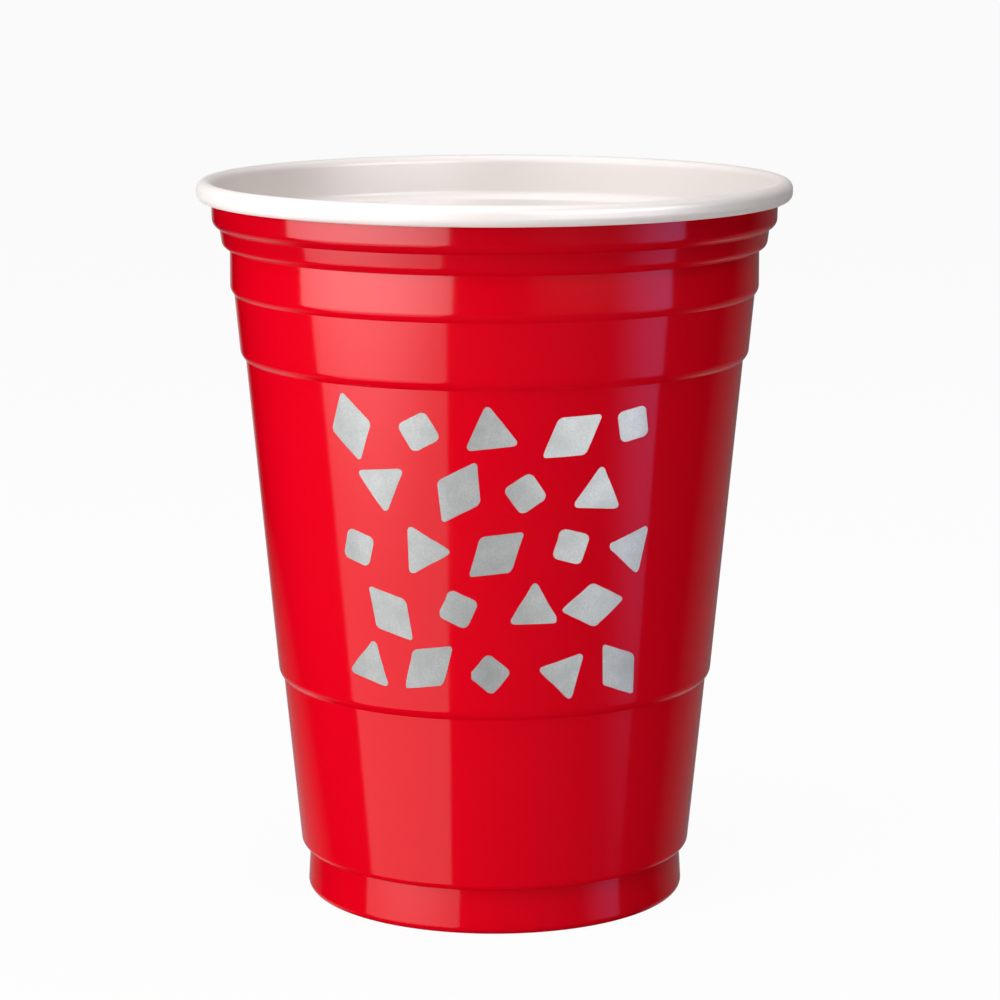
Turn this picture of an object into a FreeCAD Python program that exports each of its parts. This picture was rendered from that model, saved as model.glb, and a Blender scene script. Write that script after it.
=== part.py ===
"""Stepped party cup, formed as one piece from a two-colour plastic sheet.

The cup is one sheet of even thickness. Its section is drawn as one path of lines and
tangent arcs on the coloured face of the sheet, from the middle of the base out to the
foot, up the stepped wall, and over the rolled rim to the sheet's cut edge. Each stroke
is drawn a second time on the pale face, one thickness away, and the closed section is
turned about the cup's axis.

Millimetres and degrees. Z is up, and the origin is the middle of the standing plane.
"""
import FreeCAD, Part

import math
import os

# The sheet
SHEET_THICKNESS = 0.35
NOTCH_RADIUS = 0.25         # hollow corner under each shoulder, on the coloured face
LEDGE_SLOPE = 4.0           # least fall of a ledge under a shoulder, so the cup leaves its mould

# The base, from the axis outwards
DISH_RADIUS = 17.0          # flat of the raised middle
DISH_RISE = 0.8             # middle of the base above the flat panel round it
DISH_BEND_RADIUS = 1.6
RECESS_HEIGHT = 3.2         # panel above the standing plane
RECESS_CORNER_RADIUS = 0.8
RECESS_DRAFT = 8.0          # lean of the foot's inner wall
FOOT_INNER_EDGE_RADIUS = 1.0
FOOT_FLAT_WIDTH = 1.0       # ring that the cup stands on
FOOT_OUTER_EDGE_RADIUS = 1.25
FOOT_RADIUS = 31.65         # widest place of the foot

# The wall, band by band from the foot up: height from notch to notch, and taper.
# A taper is the growth of the radius for each millimetre of height.
FOOT_BAND_HEIGHT = 7.45
FOOT_BAND_TAPER = -0.059
LOWER_BAND_HEIGHT = 29.3
LOWER_BAND_TAPER = 0.098
MAIN_BAND_HEIGHT = 53.7
MAIN_BAND_TAPER = 0.094
UPPER_BAND_HEIGHT = 10.8
UPPER_BAND_TAPER = 0.093
COLLAR_BAND_HEIGHT = 7.4
COLLAR_BAND_TAPER = -0.004
NECK_BAND_HEIGHT = 3.4
NECK_BAND_TAPER = 0.139
TOP_BAND_HEIGHT = 6.615
TOP_BAND_TAPER = 0.020

# The shoulders between the bands: growth of the radius, and rounding of the outer edge
LOWER_STEP_DEPTH = 1.51
LOWER_SHOULDER_RADIUS = 1.10
MAIN_STEP_DEPTH = 0.82
MAIN_SHOULDER_RADIUS = 1.95
UPPER_STEP_DEPTH = 0.91
UPPER_SHOULDER_RADIUS = 1.98
COLLAR_STEP_DEPTH = 0.67
COLLAR_SHOULDER_RADIUS = 1.87
NECK_STEP_DEPTH = 1.36
NECK_SHOULDER_RADIUS = 1.30
TOP_STEP_DEPTH = 1.27
TOP_SHOULDER_RADIUS = 1.60

# The rolled rim, measured on the coloured face inside the roll
ROLL_RADIUS = 1.005
ROLL_SIDE_LENGTH = 0.69     # straight side of the roll, between its two bends
ROLL_TUCK = 118.0           # turn of the lower bend, in towards the wall

# Headings of the pen, in degrees from straight outwards
OUTWARDS = 0.0
UP = 90.0
DOWN = -90.0


def taper_heading(taper):
    """Heading of a wall that gains `taper` millimetres of radius per millimetre of height."""
    return UP - math.degrees(math.atan(taper))


class SheetPath:
    """Section of a bent sheet, drawn by strokes along its coloured face.

    The pale face lies one thickness to the left of the direction of drawing.
    """

    def __init__(self, radius, height, heading, thickness):
        self.radius = radius
        self.height = height
        self.heading = heading
        self.thickness = thickness
        self.coloured = []
        self.pale = []

    def point(self, radius, height):
        """Point of the section plane as a vector."""
        return FreeCAD.Vector(radius, 0.0, height)

    def left_of(self, distance):
        """Point that lies `distance` to the left of the pen."""
        angle = math.radians(self.heading + 90.0)
        return self.point(
            self.radius + distance * math.cos(angle),
            self.height + distance * math.sin(angle),
        )

    def straight(self, length):
        """Draw a straight stretch."""
        here = self.left_of(0.0)
        pale_here = self.left_of(self.thickness)
        angle = math.radians(self.heading)
        self.radius += length * math.cos(angle)
        self.height += length * math.sin(angle)
        self.coloured.append(Part.makeLine(here, self.left_of(0.0)))
        self.pale.append(Part.makeLine(pale_here, self.left_of(self.thickness)))

    def bend(self, radius, turn):
        """Draw an arc that turns the sheet by `turn` degrees, to the left if positive."""
        side = math.copysign(1.0, turn)
        centre = self.left_of(side * radius)
        start = self.heading - side * 90.0
        for stretch, face_radius in (
            (self.coloured, radius),
            (self.pale, radius - side * self.thickness),
        ):
            ends = [
                centre + self.point(
                    face_radius * math.cos(math.radians(start + share * turn)),
                    face_radius * math.sin(math.radians(start + share * turn)),
                )
                for share in (0.0, 0.5, 1.0)
            ]
            stretch.append(Part.Arc(*ends).toShape())
        end = math.radians(start + turn)
        self.radius = centre.x + radius * math.cos(end)
        self.height = centre.z + radius * math.sin(end)
        self.heading += turn

    def jog(self, offset, radius):
        """Step to the right by `offset` with two equal bends, keeping the heading."""
        turn = math.degrees(math.acos(1.0 - offset / (2.0 * radius)))
        self.bend(radius, -turn)
        self.bend(radius, turn)

    def shoulder(self, depth, shoulder_radius, heading):
        """Step the wall outwards by `depth`: a notch, a ledge and a rounded shoulder.

        The ledge is only as flat as the two roundings leave it, and a straight stretch
        is added where the step is deeper than they are.
        """
        notch_sine = NOTCH_RADIUS * math.sin(math.radians(self.heading))
        shoulder_sine = shoulder_radius * math.sin(math.radians(heading))
        rounding = NOTCH_RADIUS + shoulder_radius
        ledge_sine = (notch_sine + shoulder_sine - depth) / rounding
        least_sine = math.sin(math.radians(LEDGE_SLOPE))
        ledge = math.degrees(math.asin(max(ledge_sine, least_sine)))
        self.bend(NOTCH_RADIUS, ledge - self.heading)
        if ledge_sine < least_sine:
            missing = (least_sine - ledge_sine) * rounding
            self.straight(missing / math.cos(math.radians(ledge)))
        self.bend(shoulder_radius, heading - ledge)

    def section(self):
        """Closed face between the two sides of the sheet."""
        first_edge = Part.makeLine(self.pale[0].Vertexes[0].Point, self.coloured[0].Vertexes[0].Point)
        cut_edge = Part.makeLine(self.left_of(0.0), self.left_of(self.thickness))
        edges = [first_edge] + self.coloured + [cut_edge] + self.pale[::-1]
        return Part.Face(Part.Wire(edges))


def draw_base(path):
    """Raised middle, panel and the inner side of the foot, down to the standing ring.

    The panel is as wide as the dish and the hollow foot leave it.
    """
    lean = math.radians(RECESS_DRAFT)
    bends = RECESS_CORNER_RADIUS + FOOT_INNER_EDGE_RADIUS
    inner_wall = (RECESS_HEIGHT - bends * (1.0 - math.sin(lean))) / math.cos(lean)
    inner_wall_run = bends * math.cos(lean) + inner_wall * math.sin(lean)
    panel_radius = FOOT_RADIUS - FOOT_OUTER_EDGE_RADIUS - FOOT_FLAT_WIDTH - inner_wall_run
    path.straight(DISH_RADIUS)
    path.jog(DISH_RISE, DISH_BEND_RADIUS)
    path.straight(panel_radius - path.radius)
    path.bend(RECESS_CORNER_RADIUS, DOWN + RECESS_DRAFT)
    path.straight(inner_wall)
    path.bend(FOOT_INNER_EDGE_RADIUS, UP - RECESS_DRAFT)
    path.straight(FOOT_FLAT_WIDTH)


def draw_wall(path):
    """Foot band and the six bands above it, each a shoulder wider than the one below."""
    path.bend(FOOT_OUTER_EDGE_RADIUS, taper_heading(FOOT_BAND_TAPER) - path.heading)
    top_of_band = FOOT_BAND_HEIGHT
    rise_to(path, top_of_band)
    bands = (
        (LOWER_STEP_DEPTH, LOWER_SHOULDER_RADIUS, LOWER_BAND_TAPER, LOWER_BAND_HEIGHT),
        (MAIN_STEP_DEPTH, MAIN_SHOULDER_RADIUS, MAIN_BAND_TAPER, MAIN_BAND_HEIGHT),
        (UPPER_STEP_DEPTH, UPPER_SHOULDER_RADIUS, UPPER_BAND_TAPER, UPPER_BAND_HEIGHT),
        (COLLAR_STEP_DEPTH, COLLAR_SHOULDER_RADIUS, COLLAR_BAND_TAPER, COLLAR_BAND_HEIGHT),
        (NECK_STEP_DEPTH, NECK_SHOULDER_RADIUS, NECK_BAND_TAPER, NECK_BAND_HEIGHT),
        (TOP_STEP_DEPTH, TOP_SHOULDER_RADIUS, TOP_BAND_TAPER, TOP_BAND_HEIGHT),
    )
    for depth, shoulder_radius, taper, height in bands:
        path.shoulder(depth, shoulder_radius, taper_heading(taper))
        top_of_band += height
        rise_to(path, top_of_band)


def rise_to(path, height):
    """Draw the wall straight up to a height, along its own taper."""
    path.straight((height - path.height) / math.sin(math.radians(path.heading)))


def draw_rim(path):
    """Roll the top of the wall outwards, down and in again to the sheet's cut edge."""
    path.bend(ROLL_RADIUS, DOWN - path.heading)
    path.straight(ROLL_SIDE_LENGTH)
    path.bend(ROLL_RADIUS, -ROLL_TUCK)


def make_cup():
    """The whole cup as one solid."""
    middle_height = RECESS_HEIGHT + DISH_RISE
    path = SheetPath(0.0, middle_height, OUTWARDS, SHEET_THICKNESS)
    draw_base(path)
    draw_wall(path)
    draw_rim(path)
    axis_point = FreeCAD.Vector(0.0, 0.0, 0.0)
    axis = FreeCAD.Vector(0.0, 0.0, 1.0)
    return path.section().revolve(axis_point, axis, 360.0)


os.makedirs("parts", exist_ok=True)
cup = make_cup()
cup.exportStep("parts/cup.step")

box = cup.optimalBoundingBox()
print("cup: valid", cup.isValid(), "solids", len(cup.Solids), "volume", round(cup.Volume, 1))
print("cup: width", round(box.XLength, 3), "height", round(box.ZLength, 3))
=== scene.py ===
"""Looks of a stepped party cup: its formed sheet, its printed ink, the studio and the camera.

Everything is in metres in the frame of the construction model. Z is up, the origin is the
middle of the plane that the cup stands on, and the viewer looks along +Y with +X to the
right. Sizes of the cup are fields in millimetres, as its maker would give them.
"""
import logging
import math
import random
from dataclasses import dataclass
from enum import Enum

import bpy
from mathutils import Matrix, Vector


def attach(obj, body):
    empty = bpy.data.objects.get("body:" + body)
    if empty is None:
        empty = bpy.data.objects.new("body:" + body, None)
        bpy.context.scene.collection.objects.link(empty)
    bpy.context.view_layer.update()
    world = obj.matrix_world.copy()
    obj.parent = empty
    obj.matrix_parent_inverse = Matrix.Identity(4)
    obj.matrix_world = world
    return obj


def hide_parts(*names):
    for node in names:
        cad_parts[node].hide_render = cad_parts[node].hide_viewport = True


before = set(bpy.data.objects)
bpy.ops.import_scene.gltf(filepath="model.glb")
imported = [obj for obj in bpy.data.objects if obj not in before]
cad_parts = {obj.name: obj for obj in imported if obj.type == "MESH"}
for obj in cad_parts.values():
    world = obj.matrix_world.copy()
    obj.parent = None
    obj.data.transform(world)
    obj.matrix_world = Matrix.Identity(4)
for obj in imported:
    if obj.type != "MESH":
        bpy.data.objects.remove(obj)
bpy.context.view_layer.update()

MM = 0.001

# Sockets of Blender's Mix node when it mixes colours
MIX_FACTOR, MIX_FIRST, MIX_SECOND = 0, 6, 7
MIX_RESULT = 2

log = logging.getLogger("party_cup")


def linear(colour: str) -> tuple[float, float, float, float]:
    """Turn an sRGB colour into Blender's linear values.

    Args:
        colour: six hex digits after a hash sign.

    Returns:
        Red, green, blue and an alpha of one.
    """
    channels = (int(colour[place:place + 2], 16) / 255.0 for place in (1, 3, 5))
    straight = (c / 12.92 if c <= 0.04045 else ((c + 0.055) / 1.055) ** 2.4 for c in channels)
    return (*straight, 1.0)


def add_node(
    tree: bpy.types.NodeTree,
    kind: str,
    inputs: dict[str | int, object] | None = None,
    **settings: object,
) -> bpy.types.Node:
    """Add a node to a tree, with its settings and its links.

    Args:
        tree: node tree of a material or of the world.
        kind: Blender's name of the node's type.
        inputs: what each input gets, by name or number. A socket is linked, a value is set.
        **settings: fields of the node itself.

    Returns:
        The new node.
    """
    node = tree.nodes.new(kind)
    for name, value in settings.items():
        setattr(node, name, value)
    for name, value in (inputs or {}).items():
        if isinstance(value, bpy.types.NodeSocket):
            tree.links.new(value, node.inputs[name])
        else:
            node.inputs[name].default_value = value
    return node


def new_material(name: str) -> bpy.types.Material:
    """Make a material with an empty node tree.

    Args:
        name: its name.

    Returns:
        The new material.
    """
    material = bpy.data.materials.new(name)
    material.use_nodes = True
    material.node_tree.nodes.clear()
    return material


def select_only(piece: bpy.types.Object) -> None:
    """Select one object and make it the active one.

    Args:
        piece: the object.
    """
    bpy.ops.object.select_all(action="DESELECT")
    piece.select_set(True)
    bpy.context.view_layer.objects.active = piece


def apply_modifier(piece: bpy.types.Object, kind: str, **settings: object) -> None:
    """Put a modifier on a piece and apply it.

    Args:
        piece: the object that gets it.
        kind: Blender's name of the modifier's type.
        **settings: fields of the modifier.
    """
    select_only(piece)
    modifier = piece.modifiers.new(kind.lower(), kind)
    for name, value in settings.items():
        setattr(modifier, name, value)
    bpy.ops.object.modifier_apply(modifier=modifier.name)


@dataclass(frozen=True)
class FormedPolystyrene:
    """High-impact polystyrene sheet, heated and drawn into a polished mould.

    The eye gets mirror images that waver a little, because the sheet cools before it lies
    quite flat. They are crisp on the side that touched the mould and soft on the other. Near
    the rim the colour is painted a touch deeper, as painted shade under the rolled rim.
    """

    name: str
    colour: str                     # lightest tone of the wall below the rim
    deep_colour: str                # deepest tone of the wall below the rim
    rim_shade_colour: str               # painted shade near the rim, where the rolled rim shades the wall
    gloss_roughness: float          # where it lay tight on the mould
    dull_roughness: float           # where it lay less tight
    ripple_depth: float = 0.012     # mm, height of the slow waves in the face
    ripple_length: float = 16.0     # mm, from wave to wave
    cloud_length: float = 32.0      # mm, slow change in how tight it lay on the mould
    grain_length: float = 0.9       # mm, fine orange peel of the cooled face
    grain_share: float = 0.06       # part of the ripple's depth that the orange peel has
    index: float = 1.59             # refractive index of polystyrene
    shade_start_height: float = 107.0      # mm above the floor, up to which no painted rim shade is laid
    shade_full_height: float = 111.0     # mm, from which the painted rim shade is full
    tight_below: float = 0.3        # value of the cloud up to which the sheet lay tight
    loose_above: float = 0.7        # value of the cloud from which it lay least tight

    def material(self) -> bpy.types.Material:
        """Build the node tree of the face.

        Returns:
            The finished material.
        """
        material = new_material(self.name)
        tree = material.node_tree
        place = add_node(tree, "ShaderNodeTexCoord").outputs["Object"]
        cloud = add_node(tree, "ShaderNodeTexNoise", {
            "Vector": place, "Scale": 1.0 / (self.cloud_length * MM), "Detail": 3.0,
        }).outputs["Fac"]
        tone = add_node(tree, "ShaderNodeMix", {
            MIX_FACTOR: cloud,
            MIX_FIRST: linear(self.colour),
            MIX_SECOND: linear(self.deep_colour),
        }, data_type="RGBA")
        height = add_node(tree, "ShaderNodeSeparateXYZ", {"Vector": place}).outputs["Z"]
        # Painted shade under the rolled rim: the colour deepens towards the top of the wall
        thickness = add_node(tree, "ShaderNodeMapRange", {
            "Value": height,
            "From Min": self.shade_start_height * MM, "From Max": self.shade_full_height * MM,
        })
        colour = add_node(tree, "ShaderNodeMix", {
            MIX_FACTOR: thickness.outputs["Result"],
            MIX_FIRST: tone.outputs[MIX_RESULT],
            MIX_SECOND: linear(self.rim_shade_colour),
        }, data_type="RGBA")
        gloss = add_node(tree, "ShaderNodeMapRange", {
            "Value": cloud,
            "From Min": self.tight_below, "From Max": self.loose_above,
            "To Min": self.gloss_roughness, "To Max": self.dull_roughness,
        })
        waves = add_node(tree, "ShaderNodeTexNoise", {
            "Vector": place, "Scale": 1.0 / (self.ripple_length * MM), "Detail": 1.0,
        }).outputs["Fac"]
        peel = add_node(tree, "ShaderNodeTexNoise", {
            "Vector": place, "Scale": 1.0 / (self.grain_length * MM), "Detail": 2.0,
        }).outputs["Fac"]
        unevenness = add_node(tree, "ShaderNodeMath", {
            0: peel, 1: self.grain_share, 2: waves,
        }, operation="MULTIPLY_ADD")
        relief = add_node(tree, "ShaderNodeBump", {
            "Height": unevenness.outputs["Value"], "Distance": self.ripple_depth * MM,
        })
        shader = add_node(tree, "ShaderNodeBsdfPrincipled", {
            "Base Color": colour.outputs[MIX_RESULT],
            "Roughness": gloss.outputs["Result"],
            "Normal": relief.outputs["Normal"],
            "IOR": self.index,
        })
        add_node(tree, "ShaderNodeOutputMaterial", {"Surface": shader.outputs["BSDF"]})
        return material


@dataclass(frozen=True)
class FlakeInk:
    """Solvent ink full of aluminium flakes, screen-printed on the wall.

    The eye gets a satin silver that turns from grey to white as it faces the lights, with a
    fine sparkle where single flakes lie at other angles.
    """

    name: str = "aluminium_flake_ink_screen_printed"
    colour: str = "#C2C5C4"         # where it lies thick
    grey_colour: str = "#AEB1B0"    # where it lies thin
    roughness: float = 0.50
    metal_share: float = 0.80       # the rest is the ink's binder
    flake_size: float = 0.30        # mm; real flakes are a tenth of that and wouldn't show
    flake_relief: float = 0.012     # mm
    cloud_length: float = 3.5       # mm, slow change in how thick the ink lies
    thin_below: float = 0.12        # product of both noises up to which it counts as thin
    thick_above: float = 0.40       # product of both noises from which it counts as thick

    def material(self) -> bpy.types.Material:
        """Build the node tree of the ink.

        Returns:
            The finished material.
        """
        material = new_material(self.name)
        tree = material.node_tree
        place = add_node(tree, "ShaderNodeTexCoord").outputs["Object"]
        flakes = add_node(tree, "ShaderNodeTexNoise", {
            "Vector": place, "Scale": 1.0 / (self.flake_size * MM), "Detail": 2.0,
        }).outputs["Fac"]
        cloud = add_node(tree, "ShaderNodeTexNoise", {
            "Vector": place, "Scale": 1.0 / (self.cloud_length * MM), "Detail": 2.0,
        }).outputs["Fac"]
        thickness = add_node(tree, "ShaderNodeMath", {0: flakes, 1: cloud}, operation="MULTIPLY")
        share = add_node(tree, "ShaderNodeMapRange", {
            "Value": thickness.outputs["Value"],
            "From Min": self.thin_below, "From Max": self.thick_above,
        })
        tone = add_node(tree, "ShaderNodeMix", {
            MIX_FACTOR: share.outputs["Result"],
            MIX_FIRST: linear(self.grey_colour),
            MIX_SECOND: linear(self.colour),
        }, data_type="RGBA")
        relief = add_node(tree, "ShaderNodeBump", {
            "Height": flakes, "Distance": self.flake_relief * MM,
        })
        shader = add_node(tree, "ShaderNodeBsdfPrincipled", {
            "Base Color": tone.outputs[MIX_RESULT],
            "Metallic": self.metal_share,
            "Roughness": self.roughness,
            "Normal": relief.outputs["Normal"],
        })
        add_node(tree, "ShaderNodeOutputMaterial", {"Surface": shader.outputs["BSDF"]})
        return material


@dataclass
class SectionPen:
    """Draws the section of a bent sheet in edit mode, stroke by stroke, in the XZ plane.

    Each stroke starts from the one selected point and leaves its own end selected. Lengths
    are in millimetres. The heading is in degrees from straight outwards, upwards positive.
    """

    radius: float
    height: float
    heading: float = 0.0
    arc_step: float = 9.0           # degrees that one edge of a bend turns

    def start(self, name: str) -> bpy.types.Object:
        """Make a mesh of one point at the pen's place, in edit mode.

        Args:
            name: name of the new object.

        Returns:
            The object, whose own origin is that of the frame.
        """
        bpy.ops.object.select_all(action="DESELECT")
        bpy.ops.mesh.primitive_plane_add(size=MM)
        piece = bpy.context.object
        piece.name = name
        bpy.ops.object.mode_set(mode="EDIT")
        bpy.ops.mesh.merge(type="CENTER")
        bpy.ops.transform.translate(value=(self.radius * MM, 0.0, self.height * MM))
        return piece

    def straight(self, length: float) -> None:
        """Draw a straight stretch.

        Args:
            length: length of the stretch.
        """
        angle = math.radians(self.heading)
        run, rise = length * math.cos(angle), length * math.sin(angle)
        bpy.ops.mesh.extrude_region_move(
            TRANSFORM_OT_translate={"value": (run * MM, 0.0, rise * MM)}
        )
        self.radius += run
        self.height += rise

    def bend(self, radius: float, turn: float) -> None:
        """Draw an arc.

        Args:
            radius: radius of the arc.
            turn: degrees that the heading changes, to the left if positive.
        """
        side = math.copysign(90.0, turn)
        to_centre = math.radians(self.heading + side)
        centre_radius = self.radius + radius * math.cos(to_centre)
        centre_height = self.height + radius * math.sin(to_centre)
        bpy.ops.mesh.spin(
            steps=max(2, round(abs(turn) / self.arc_step)),
            angle=math.radians(turn),
            center=(centre_radius * MM, 0.0, centre_height * MM),
            axis=(0.0, 1.0, 0.0),
        )
        self.heading += turn
        from_centre = math.radians(self.heading - side)
        self.radius = centre_radius + radius * math.cos(from_centre)
        self.height = centre_height + radius * math.sin(from_centre)

    def jog(self, offset: float, radius: float) -> None:
        """Step to the right with two equal bends, keeping the heading.

        Args:
            offset: how far the new line is from the old one.
            radius: radius of each bend.
        """
        turn = math.degrees(math.acos(1.0 - offset / (2.0 * radius)))
        self.bend(radius, -turn)
        self.bend(radius, turn)

    def rise_to(self, height: float) -> None:
        """Draw straight on until a height is reached."""
        self.straight((height - self.height) / math.sin(math.radians(self.heading)))


@dataclass(frozen=True)
class Band:
    """One band of the wall, from the notch under it to the notch above it, in millimetres."""

    height: float
    taper: float                    # growth of the radius per millimetre of height
    step_depth: float = 0.0         # how far the band stands out from the one below
    shoulder_radius: float = 0.0    # rounding of its lower edge

    @property
    def heading(self) -> float:
        """Direction of the wall, in degrees from straight outwards."""
        return 90.0 - math.degrees(math.atan(self.taper))


@dataclass
class CupSheet:
    """The cup itself: one sheet, coloured outside and pale inside, turned about its axis.

    The section is drawn along the coloured face, from the middle of the base out to the
    foot, up the wall and over the rolled rim, and the sheet's thickness is added inwards.
    Sizes are in millimetres and angles in degrees.
    """

    outside: FormedPolystyrene
    inside: FormedPolystyrene
    thickness: float = 0.35
    segments: int = 192             # round the axis
    dish_radius: float = 17.0       # flat of the raised middle of the base
    dish_rise: float = 0.8
    dish_bend_radius: float = 1.6
    recess_height: float = 3.2      # panel of the base above the standing plane
    recess_corner_radius: float = 0.8
    recess_draft: float = 8.0       # lean of the foot's inner wall
    foot_inner_edge_radius: float = 1.0
    foot_flat_width: float = 1.0    # ring that the cup stands on
    foot_outer_edge_radius: float = 1.25
    foot_radius: float = 31.65
    notch_radius: float = 0.25      # hollow corner under each shoulder
    ledge_slope: float = 4.0        # least fall of a ledge
    foot_band: Band = Band(7.45, -0.059)
    lower_band: Band = Band(29.3, 0.098, 1.51, 1.10)
    main_band: Band = Band(53.7, 0.094, 0.82, 1.95)
    upper_band: Band = Band(10.8, 0.093, 0.91, 1.98)
    collar_band: Band = Band(7.4, -0.004, 0.67, 1.87)
    neck_band: Band = Band(3.4, 0.139, 1.36, 1.30)
    top_band: Band = Band(6.615, 0.020, 1.27, 1.60)
    roll_radius: float = 1.005      # inside the rolled rim
    roll_side: float = 0.69         # straight side of the roll, between its two bends
    roll_tuck: float = 118.0        # turn of the lower bend, in towards the wall

    def build(self) -> bpy.types.Object:
        """Model the sheet and put it in place of the construction solid.

        Returns:
            The finished piece.
        """
        pen = SectionPen(0.0, self.recess_height + self.dish_rise)
        sheet = pen.start("cup_sheet")
        self.draw_base(pen)
        self.draw_wall(pen)
        self.draw_rim(pen)
        self.turn_about_axis()
        bpy.ops.object.mode_set(mode="OBJECT")
        self.dress(sheet)
        # The new face and the cut edge get the second material
        apply_modifier(
            sheet, "SOLIDIFY", thickness=self.thickness * MM, offset=-1.0,
            use_even_offset=True, material_offset=1, material_offset_rim=1,
        )
        bpy.ops.object.shade_smooth()
        apply_modifier(sheet, "WEIGHTED_NORMAL", mode="FACE_AREA", weight=100)
        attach(sheet, "root")
        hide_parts("cup")
        return sheet

    def draw_base(self, pen: SectionPen) -> None:
        """Draw the raised middle, the panel and the foot's inner wall, to the standing ring.

        The panel is as wide as the dish and the hollow foot leave it.

        Args:
            pen: the pen, at the middle of the base.
        """
        lean = math.radians(self.recess_draft)
        bends = self.recess_corner_radius + self.foot_inner_edge_radius
        inner_wall = (self.recess_height - bends * (1.0 - math.sin(lean))) / math.cos(lean)
        inner_wall_run = bends * math.cos(lean) + inner_wall * math.sin(lean)
        flat_start = self.foot_radius - self.foot_outer_edge_radius - self.foot_flat_width
        pen.straight(self.dish_radius)
        pen.jog(self.dish_rise, self.dish_bend_radius)
        pen.straight(flat_start - inner_wall_run - pen.radius)
        pen.bend(self.recess_corner_radius, self.recess_draft - 90.0)
        pen.straight(inner_wall)
        pen.bend(self.foot_inner_edge_radius, 90.0 - self.recess_draft)
        pen.straight(self.foot_flat_width)

    def draw_wall(self, pen: SectionPen) -> None:
        """Draw the foot band and the six bands above it.

        Args:
            pen: the pen, at the outer edge of the standing ring.
        """
        pen.bend(self.foot_outer_edge_radius, self.foot_band.heading - pen.heading)
        band_top = self.foot_band.height
        pen.rise_to(band_top)
        for band in (
            self.lower_band, self.main_band, self.upper_band,
            self.collar_band, self.neck_band, self.top_band,
        ):
            self.draw_shoulder(pen, band)
            band_top += band.height
            pen.rise_to(band_top)

    def draw_shoulder(self, pen: SectionPen, band: Band) -> None:
        """Step out to a band: a notch, a ledge that is as flat as it can be, and a rounding.

        Args:
            pen: the pen, at the top of the band below.
            band: the band that starts here.
        """
        rounding = self.notch_radius + band.shoulder_radius
        ledge_sine = (
            self.notch_radius * math.sin(math.radians(pen.heading))
            + band.shoulder_radius * math.sin(math.radians(band.heading))
            - band.step_depth
        ) / rounding
        least_sine = math.sin(math.radians(self.ledge_slope))
        ledge = math.degrees(math.asin(max(ledge_sine, least_sine)))
        pen.bend(self.notch_radius, ledge - pen.heading)
        if ledge_sine < least_sine:
            pen.straight((least_sine - ledge_sine) * rounding / math.cos(math.radians(ledge)))
        pen.bend(band.shoulder_radius, band.heading - ledge)

    def draw_rim(self, pen: SectionPen) -> None:
        """Roll the top of the wall outwards, down and in again to the sheet's cut edge.

        Args:
            pen: the pen, at the top of the wall.
        """
        pen.bend(self.roll_radius, -90.0 - pen.heading)
        pen.straight(self.roll_side)
        pen.bend(self.roll_radius, -self.roll_tuck)

    def turn_about_axis(self) -> None:
        """Spin the whole section about the axis, close the seam and turn the faces outwards.

        Recalculation takes the hollow of an open cup for its outside, so it is asked for the
        inside, which points the coloured face away from the axis.
        """
        bpy.ops.mesh.select_all(action="SELECT")
        bpy.ops.mesh.spin(
            steps=self.segments, angle=math.tau, center=(0.0, 0.0, 0.0), axis=(0.0, 0.0, 1.0)
        )
        bpy.ops.mesh.select_all(action="SELECT")
        bpy.ops.mesh.remove_doubles(threshold=0.001 * MM)
        bpy.ops.mesh.normals_make_consistent(inside=True)

    def dress(self, sheet: bpy.types.Object) -> None:
        """Give the coloured face the first material and the face behind it the second."""
        sheet.data.materials.append(self.outside.material())
        sheet.data.materials.append(self.inside.material())

    @property
    def printed_radius(self) -> float:
        """Find how wide the printed part of the wall is.

        Returns:
            Radius of the outside half way up the main band, without the bands' roundings.
        """
        lower, main = self.lower_band, self.main_band
        radius = self.foot_radius + self.foot_band.height * self.foot_band.taper
        radius += lower.step_depth + lower.height * lower.taper
        return radius + main.step_depth + main.height * main.taper / 2.0


class Motif(Enum):
    """Shapes of printed confetti, as corners on an oval.

    The numbers are how many corners there are, the oval's width and height in millimetres,
    and the part of the width that the rounding of a corner takes off.
    """

    DIAMOND = (4, 7.6, 11.6, 0.10)
    TRIANGLE = (3, 9.8, 9.8, 0.12)
    SQUARE = (4, 7.2, 7.2, 0.14)

    def __init__(self, corners: int, width: float, height: float, rounding: float) -> None:
        """Give the numbers of a shape their names.

        Args:
            corners: how many corners it has.
            width: width of the oval, in millimetres.
            height: height of the oval, in millimetres.
            rounding: part of the width that the rounding of a corner takes off.
        """
        self.corners = corners
        self.width = width
        self.height = height
        self.rounding = rounding


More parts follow.
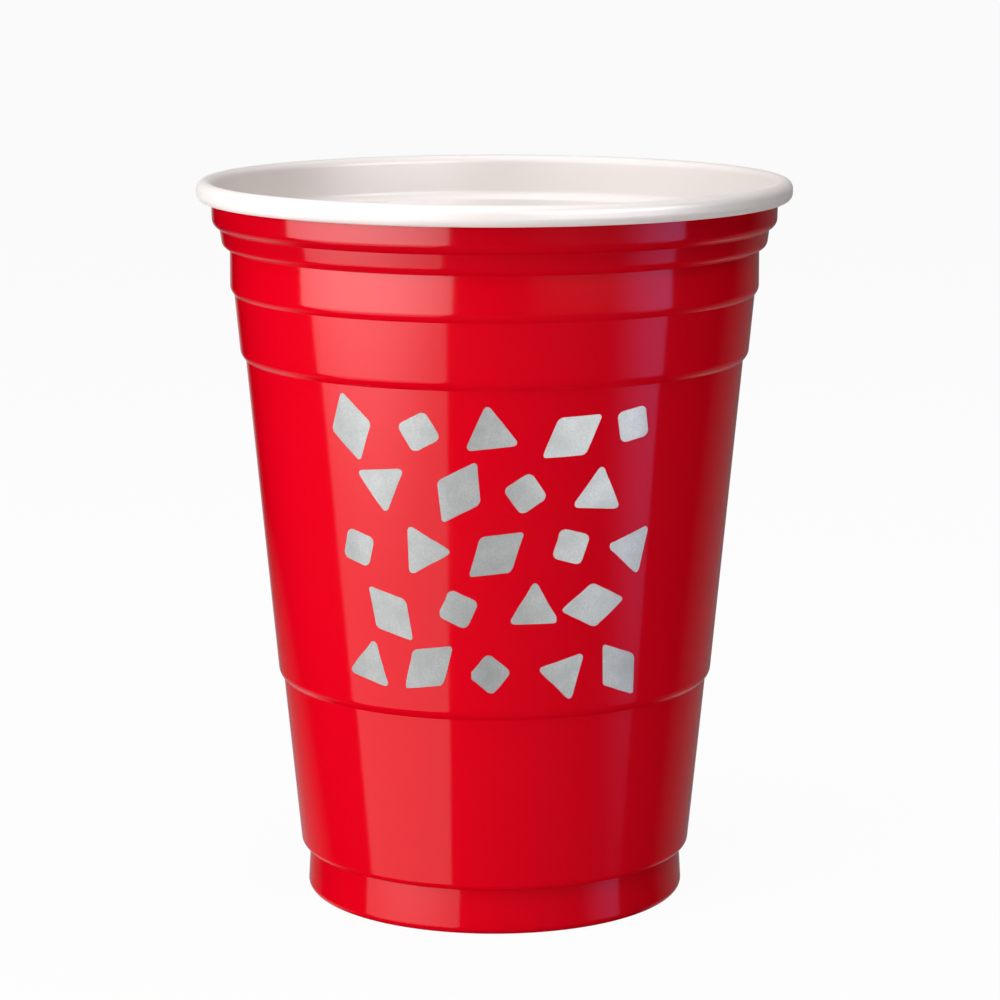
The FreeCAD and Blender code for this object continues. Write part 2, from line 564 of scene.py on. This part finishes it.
@dataclass
class ConfettiPrint:
    """Confetti printed in silver on the front of the main band.

    The motifs are cut flat, bent round the wall and laid on it as a coat of ink.
    """

    ink: FlakeInk
    wall_radius: float              # mm, mean radius of the printed band
    rows: int = 5
    columns: int = 5
    row_spacing: float = 9.8        # mm
    column_spacing: float = 11.4    # mm
    middle_height: float = 64.0     # mm above the standing plane
    jitter: float = 0.9             # mm
    ink_depth: float = 0.03         # mm, proud of the wall
    facet: float = 1.0              # mm, width of the strips that follow the wall's curve
    standoff: float = 4.0           # mm, clear of the wall before the print is pressed on it
    corner_steps: int = 5           # edges that round one corner of a motif
    seed: int = 11

    def build(self, sheet: bpy.types.Object) -> bpy.types.Object:
        """Model the print on the cup.

        Args:
            sheet: the cup that carries it.

        Returns:
            The finished piece.
        """
        chance = random.Random(self.seed)
        kinds = list(Motif)
        parts = []
        for row in range(self.rows):
            row_length = self.columns - row % 2
            for column in range(row_length):
                kind = kinds[(row + 2 * column) % len(kinds)]
                across = (column - (row_length - 1) / 2.0) * self.column_spacing
                up = ((self.rows - 1) / 2.0 - row) * self.row_spacing
                across += chance.uniform(-self.jitter, self.jitter)
                up += chance.uniform(-self.jitter, self.jitter)
                turn = math.radians(chance.uniform(0.0, 180.0))
                parts.append(self.cut_motif(kind, across, up, turn))
        bpy.ops.object.select_all(action="DESELECT")
        for part in parts:
            part.select_set(True)
        bpy.context.view_layer.objects.active = parts[0]
        bpy.ops.object.join()
        coat = bpy.context.object
        coat.name = "silver_confetti"
        self.cut_strips(coat)
        self.lay_on_wall(coat, sheet)
        coat.data.materials.append(self.ink.material())
        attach(coat, "root")
        return coat

    def cut_motif(self, kind: Motif, across: float, up: float, turn: float) -> bpy.types.Object:
        """Cut one motif flat, in the upright plane through the axis.

        Its corners start on a circle one millimetre wide, which is scaled to its oval.

        Args:
            kind: its shape.
            across: place of its middle to the right, in millimetres.
            up: place of its middle above the middle of the print, in millimetres.
            turn: how far it is turned, in radians.

        Returns:
            The motif as an object of its own.
        """
        bpy.ops.object.select_all(action="DESELECT")
        bpy.ops.mesh.primitive_circle_add(
            vertices=kind.corners, radius=0.5 * MM, fill_type="NGON",
            rotation=(math.pi / 2.0, 0.0, 0.0),
        )
        part = bpy.context.object
        part.scale = (kind.width, kind.height, 1.0)
        bpy.ops.object.transform_apply(location=False, rotation=True, scale=True)
        part.rotation_euler = (0.0, turn, 0.0)
        part.location = (across * MM, 0.0, up * MM)
        bpy.ops.object.transform_apply(location=True, rotation=True, scale=True)
        bpy.ops.object.mode_set(mode="EDIT")
        bpy.ops.mesh.bevel(
            offset=kind.rounding * kind.width * MM, segments=self.corner_steps, affect="VERTICES"
        )
        bpy.ops.object.mode_set(mode="OBJECT")
        return part

    def cut_strips(self, coat: bpy.types.Object) -> None:
        """Cut the flat print into upright strips, narrow enough to follow the wall.

        Args:
            coat: the flat print.
        """
        half_width = max(abs(corner.co.x) for corner in coat.data.vertices)
        cuts = math.ceil(half_width / (self.facet * MM))
        select_only(coat)
        bpy.ops.object.mode_set(mode="EDIT")
        for number in range(-cuts, cuts + 1):
            bpy.ops.mesh.select_all(action="SELECT")
            bpy.ops.mesh.bisect(
                plane_co=(number * self.facet * MM, 0.0, 0.0), plane_no=(1.0, 0.0, 0.0)
            )
        bpy.ops.object.mode_set(mode="OBJECT")

    def lay_on_wall(self, coat: bpy.types.Object, sheet: bpy.types.Object) -> None:
        """Bend the flat print round the axis, press it on the wall and give it its depth.

        Args:
            coat: the flat print, cut into strips.
            sheet: the cup that carries it.
        """
        radius = (self.wall_radius + self.standoff) * MM
        for corner in coat.data.vertices:
            angle = corner.co.x / (self.wall_radius * MM)
            corner.co = Vector((
                radius * math.sin(angle),
                -radius * math.cos(angle),
                corner.co.z + self.middle_height * MM,
            ))
        apply_modifier(
            coat, "SHRINKWRAP", target=sheet, wrap_method="NEAREST_SURFACEPOINT",
            wrap_mode="ABOVE_SURFACE", offset=self.ink_depth * MM,
        )
        apply_modifier(coat, "SOLIDIFY", thickness=2.0 * self.ink_depth * MM, offset=-1.0)


class Use(Enum):
    """What a lamp is hung for."""

    LIGHT = "lights matt faces, and no mirror image shows it"
    MIRROR = "shows as a mirror image in gloss, and lights nothing"


@dataclass(frozen=True)
class Softbox:
    """A lamp behind a diffusing cloth, which may be dimmer away from its brightest place.

    It is placed from the cup's axis. Azimuth is in degrees from the camera's side, to the
    right positive.
    """

    name: str
    use: Use
    azimuth: float
    distance: float                 # m, level distance of its middle from the axis
    height: float                   # m, of its middle above the floor
    width: float                    # m
    length: float                   # m, along its own slope
    tilt: float                     # degrees that it looks down
    roll: float                     # degrees that it is turned about its own middle
    level: float                    # brightness of its mirror image, where white paper is 1
    edge_level: float | None = None     # the same, far from its brightest place, if it differs
    hot_spot: tuple[float, float] = (0.0, 0.0)  # m, brightest place: to its right, up its slope
    reach: tuple[float, float] = (1.0, 1.0)     # m from there to the edge level, both ways
    colour: str = "#FFFFFF"

    def hang(self) -> None:
        """Add the lamp, facing the axis."""
        data = bpy.data.lights.new(self.name, "AREA")
        data.shape = "RECTANGLE"
        data.size, data.size_y = self.width, self.length
        data.energy = math.pi * self.width * self.length    # watts for a brightness of one
        data.color = linear(self.colour)[:3]
        lamp = bpy.data.objects.new(self.name, data)
        bpy.context.scene.collection.objects.link(lamp)
        turn = math.radians(self.azimuth)
        facing = (
            Matrix.Rotation(turn, 3, "Z")
            @ Matrix.Rotation(math.radians(90.0 - self.tilt), 3, "X")
            @ Matrix.Rotation(math.radians(self.roll), 3, "Z")
        )
        middle = Vector((
            self.distance * math.sin(turn), -self.distance * math.cos(turn), self.height
        ))
        lamp.matrix_world = Matrix.Translation(middle) @ facing.to_4x4()
        lamp.visible_camera = False
        lamp.visible_diffuse = self.use is Use.LIGHT
        lamp.visible_glossy = self.use is Use.MIRROR
        self.grade(data, middle, facing)

    def grade(self, data: bpy.types.Light, middle: Vector, facing: Matrix) -> None:
        """Make the cloth dimmer away from its brightest place.

        Args:
            data: the lamp.
            middle: its middle in the frame.
            facing: its turn in the frame.
        """
        data.use_nodes = True
        tree = data.node_tree
        tree.nodes.clear()
        # Zero at the brightest place, and one where the edge level is reached
        place = add_node(tree, "ShaderNodeMapping", {
            "Vector": add_node(tree, "ShaderNodeNewGeometry").outputs["Position"],
            "Location": middle + facing @ Vector((*self.hot_spot, 0.0)),
            "Rotation": facing.to_euler(),
            "Scale": (*self.reach, 1.0),
        }, vector_type="TEXTURE")
        away = add_node(tree, "ShaderNodeVectorMath", {
            0: place.outputs["Vector"],
        }, operation="LENGTH")
        edge_level = self.level if self.edge_level is None else self.edge_level
        level = add_node(tree, "ShaderNodeMapRange", {
            "Value": away.outputs["Value"], "To Min": self.level, "To Max": edge_level,
        }, interpolation_type="SMOOTHSTEP")
        cloth = add_node(tree, "ShaderNodeEmission", {"Strength": level.outputs["Result"]})
        add_node(tree, "ShaderNodeOutputLight", {"Surface": cloth.outputs["Emission"]})


@dataclass(frozen=True)
class Glow:
    """A round bright patch of the surround, soft at its edge. All angles are in degrees."""

    azimuth: float                  # from the camera's side, to the right positive
    elevation: float
    edge: float                     # half angle at which it has faded out
    level: float                    # brightness of its middle, where white paper is 1

    def share(self, tree: bpy.types.NodeTree, place: bpy.types.NodeSocket) -> bpy.types.NodeSocket:
        """Add the nodes that give the patch's brightness.

        Args:
            tree: node tree of the surround's material.
            place: direction from the cup, of length one.

        Returns:
            The brightness in that direction.
        """
        turn, rise = math.radians(self.azimuth), math.radians(self.elevation)
        level_share = math.cos(rise)
        middle = (math.sin(turn) * level_share, -math.cos(turn) * level_share, math.sin(rise))
        nearness = add_node(tree, "ShaderNodeVectorMath", {
            0: place, 1: middle,
        }, operation="DOT_PRODUCT")
        return add_node(tree, "ShaderNodeMapRange", {
            "Value": nearness.outputs["Value"],
            "From Min": math.cos(math.radians(self.edge)),
            "To Max": self.level,
        }).outputs["Result"]


@dataclass
class Studio:
    """Floor, world, lamps and the dark surround that only mirror images see."""

    floor_radius: float = 6.0       # m
    floor_segments: int = 128
    ambient: float = 0.11           # brightness of the world as a light
    white: str = "#FFFFFF"          # what the background and the floor's glow look like
    floor_colour: str = "#E2E2E2"
    floor_glow: float = 0.95        # part of the floor's look that no shadow reaches
    surround_radius: float = 1.0    # m
    surround_segments: int = 64     # round it, and half as many from pole to pole
    dark_below: float = -0.65       # height over its radius, under which the surround is black
    dark_fade: float = 0.15         # height over its radius, in which its patches come in
    lamps: tuple[Softbox, ...] = (
        # Mirrored as the broad stripe on the left of the wall
        Softbox(
            "softbox_left", Use.MIRROR, azimuth=-52.5, distance=0.42, height=0.10,
            width=0.64, length=1.10, tilt=28.0, roll=2.0,
            level=3.4, edge_level=0.75, reach=(0.55, 0.30),
        ),
        # Mirrored as the bluish stripe on the right
        Softbox(
            "softbox_right", Use.MIRROR, azimuth=63.5, distance=0.60, height=0.05,
            width=0.33, length=1.20, tilt=12.0, roll=6.0,
            level=1.35, edge_level=0.02, hot_spot=(0.13, 0.10), reach=(0.33, 0.55),
            colour="#ABABFF",
        ),
        # Gives the colours their brightness, more so on the left
        Softbox(
            "key_left", Use.LIGHT, azimuth=-55.0, distance=0.55, height=0.21,
            width=0.80, length=0.40, tilt=12.0, roll=0.0, level=3.25,
        ),
        # Evens that out, and reaches the inside and the rounded shoulders
        Softbox(
            "fill_above", Use.LIGHT, azimuth=25.0, distance=0.18, height=0.80,
            width=0.9, length=0.9, tilt=80.0, roll=0.0, level=2.2,
        ),
        # High enough that only broad sheens catch it, those of the ink and the pale face
        Softbox(
            "card_right", Use.MIRROR, azimuth=44.0, distance=0.60, height=0.245,
            width=0.70, length=0.34, tilt=16.0, roll=0.0, level=9.5,
        ),
    )
    glows: tuple[Glow, ...] = (
        # Behind the cup, so mirrored along its two sides
        Glow(azimuth=-176.0, elevation=1.0, edge=19.0, level=0.50),
        Glow(azimuth=163.0, elevation=-34.0, edge=50.0, level=0.21),
        Glow(azimuth=-161.0, elevation=-60.0, edge=52.0, level=0.70),
        # Overhead, so mirrored in the rim
        Glow(azimuth=0.0, elevation=90.0, edge=50.0, level=1.0),
    )

    def build(self) -> None:
        """Set up everything round the cup."""
        for lamp in self.lamps:
            lamp.hang()
        self.light_world()
        self.lay_floor()
        self.hang_surround()

    def background_share(self, tree: bpy.types.NodeTree) -> bpy.types.NodeSocket:
        """Add nodes that tell the rays that see the white background from the rest.

        Args:
            tree: node tree of a material or of the world.

        Returns:
            A socket with one for camera, glossy and transmission rays, and zero otherwise.
        """
        path = add_node(tree, "ShaderNodeLightPath")
        mirror = add_node(tree, "ShaderNodeMath", {
            0: path.outputs["Is Camera Ray"], 1: path.outputs["Is Glossy Ray"],
        }, operation="MAXIMUM")
        return add_node(tree, "ShaderNodeMath", {
            0: mirror.outputs["Value"], 1: path.outputs["Is Transmission Ray"],
        }, operation="MAXIMUM").outputs["Value"]

    def light_world(self) -> None:
        """Make the world a plain soft light that is seen as white."""
        world = bpy.data.worlds.new("studio")
        bpy.context.scene.world = world
        world.use_nodes = True
        tree = world.node_tree
        tree.nodes.clear()
        strength = add_node(tree, "ShaderNodeMapRange", {
            "Value": self.background_share(tree), "To Min": self.ambient, "To Max": 1.0,
        })
        back = add_node(tree, "ShaderNodeBackground", {
            "Color": linear(self.white), "Strength": strength.outputs["Result"],
        })
        add_node(tree, "ShaderNodeOutputWorld", {"Surface": back.outputs["Background"]})

    def lay_floor(self) -> None:
        """Lay a pale floor that is seen as white but for the cup's soft shadow."""
        bpy.ops.object.select_all(action="DESELECT")
        bpy.ops.mesh.primitive_circle_add(
            vertices=self.floor_segments, radius=self.floor_radius, fill_type="NGON"
        )
        floor = bpy.context.object
        floor.name = "floor"
        material = new_material("matt_pale_paper")
        tree = material.node_tree
        paper = add_node(tree, "ShaderNodeBsdfDiffuse", {"Color": linear(self.floor_colour)})
        glow = add_node(tree, "ShaderNodeEmission", {"Color": linear(self.white)})
        share = add_node(tree, "ShaderNodeMath", {
            0: self.background_share(tree), 1: self.floor_glow,
        }, operation="MULTIPLY")
        seen = add_node(tree, "ShaderNodeMixShader", {
            0: share.outputs["Value"], 1: paper.outputs["BSDF"], 2: glow.outputs["Emission"],
        })
        add_node(tree, "ShaderNodeOutputMaterial", {"Surface": seen.outputs["Shader"]})
        floor.data.materials.append(material)
        floor.visible_glossy = False

    def hang_surround(self) -> None:
        """Hang a dark ball of cloth round the cup, with its bright patches.

        Only mirror images see it. It keeps the colour deep where no lamp is mirrored.
        """
        bpy.ops.object.select_all(action="DESELECT")
        bpy.ops.mesh.primitive_uv_sphere_add(
            segments=self.surround_segments,
            ring_count=self.surround_segments // 2,
            radius=self.surround_radius,
        )
        ball = bpy.context.object
        ball.name = "dark_surround"
        material = new_material("black_cloth_with_bright_patches")
        tree = material.node_tree
        place = add_node(tree, "ShaderNodeVectorMath", {
            0: add_node(tree, "ShaderNodeTexCoord").outputs["Object"],
        }, operation="NORMALIZE").outputs["Vector"]
        level = self.glows[0].share(tree, place)
        for glow in self.glows[1:]:
            level = add_node(tree, "ShaderNodeMath", {
                0: level, 1: glow.share(tree, place),
            }, operation="ADD").outputs["Value"]
        darkness = add_node(tree, "ShaderNodeMapRange", {
            "Value": add_node(tree, "ShaderNodeSeparateXYZ", {"Vector": place}).outputs["Z"],
            "From Min": self.dark_below, "From Max": self.dark_below + self.dark_fade,
        }).outputs["Result"]
        level = add_node(tree, "ShaderNodeMath", {
            0: level, 1: darkness,
        }, operation="MULTIPLY").outputs["Value"]
        cloth = add_node(tree, "ShaderNodeEmission", {"Strength": level})
        add_node(tree, "ShaderNodeOutputMaterial", {"Surface": cloth.outputs["Emission"]})
        ball.data.materials.append(material)
        ball.visible_camera = False
        ball.visible_diffuse = False
        ball.visible_transmission = False
        ball.visible_shadow = False


@dataclass(frozen=True)
class Viewpoint:
    """The camera of the photograph, placed by a fit to the cup's outline."""

    sideways: float = 0.0009        # m, to the right of the cup's axis
    back: float = 0.5744            # m, in front of the axis
    height: float = 0.1698          # m, above the floor
    fall: float = 10.24             # degrees that it looks down
    focal_pixels: float = 3483.0    # focal length in pixels of a frame 1000 wide
    frame_pixels: float = 1000.0
    sensor: float = 36.0            # mm

    def place(self) -> None:
        """Add the camera and make it the scene's own."""
        data = bpy.data.cameras.new("viewpoint")
        data.sensor_width = self.sensor
        data.lens = self.focal_pixels / self.frame_pixels * self.sensor
        camera = bpy.data.objects.new("viewpoint", data)
        bpy.context.scene.collection.objects.link(camera)
        camera.location = (self.sideways, -self.back, self.height)
        camera.rotation_euler = (math.radians(90.0 - self.fall), 0.0, 0.0)
        bpy.context.scene.camera = camera


def main() -> None:
    """Build the camera, the cup, its print and the studio, in that order."""
    logging.basicConfig(level=logging.INFO, format="%(name)s: %(message)s")
    bpy.context.scene.view_settings.view_transform = "Standard"
    Viewpoint().place()
    # The darker colour near the rim of each face is painted shade under the rolled rim
    red = FormedPolystyrene(
        name="polystyrene_red_face_thermoformed",
        colour="#E1001B", deep_colour="#DB0018", rim_shade_colour="#CC0017",
        gloss_roughness=0.07, dull_roughness=0.10,
    )
    pale = FormedPolystyrene(
        name="polystyrene_pale_face_thermoformed",
        colour="#F4EDEA", deep_colour="#EFE8E5", rim_shade_colour="#F2EBE8",
        gloss_roughness=0.34, dull_roughness=0.42,
    )
    cup = CupSheet(red, pale)
    sheet = cup.build()
    log.info("%s: %d faces", sheet.name, len(sheet.data.polygons))
    coat = ConfettiPrint(FlakeInk(), cup.printed_radius).build(sheet)
    log.info("%s: %d faces", coat.name, len(coat.data.polygons))
    Studio().build()
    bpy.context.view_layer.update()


if __name__ == "__main__":
    main()
